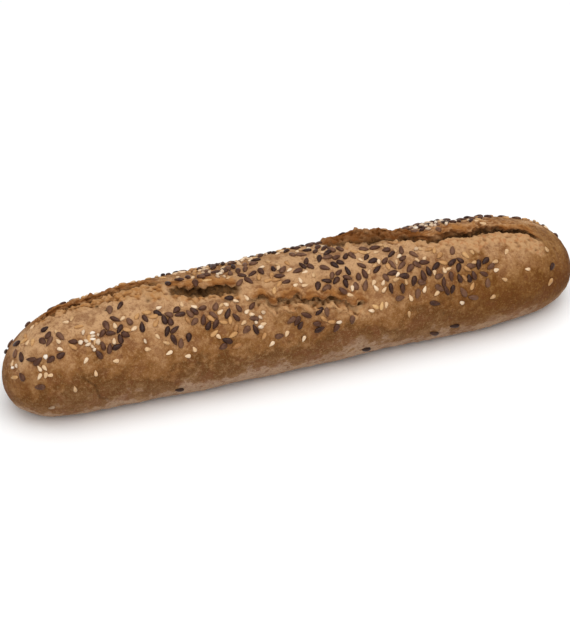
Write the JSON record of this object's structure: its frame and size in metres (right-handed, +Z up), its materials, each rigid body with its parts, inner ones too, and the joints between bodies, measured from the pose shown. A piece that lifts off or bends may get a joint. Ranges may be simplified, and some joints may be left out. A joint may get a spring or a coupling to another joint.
{
  "type": "seeded brown baguette",
  "caption": "Whole small baguette of brown dough, its crown torn open along slanted scores and strewn with brown and golden linseed, sesame and bits of grain.",
  "frame": {"origin": "middle of the flat base that the loaf lies on", "axes": "+X along the loaf, -Y its front with the torn lips facing it, +Z up out of the base"},
  "size_m": [0.285, 0.0608, 0.0499],
  "materials": {
    "crust": "matte baked crust, tan on the crown, browner on the sides, paler crumb and dark hollows at the splits",
    "linseed": "dark purple-brown seed with a faint sheen",
    "sesame": "cream seed, matte",
    "golden_linseed": "golden tan seed, matte",
    "grain": "off-white puffed bits of grain, matte"
  },
  "bodies": {
    "root": {"loaf": "crust"}
  },
  "joints": []
}
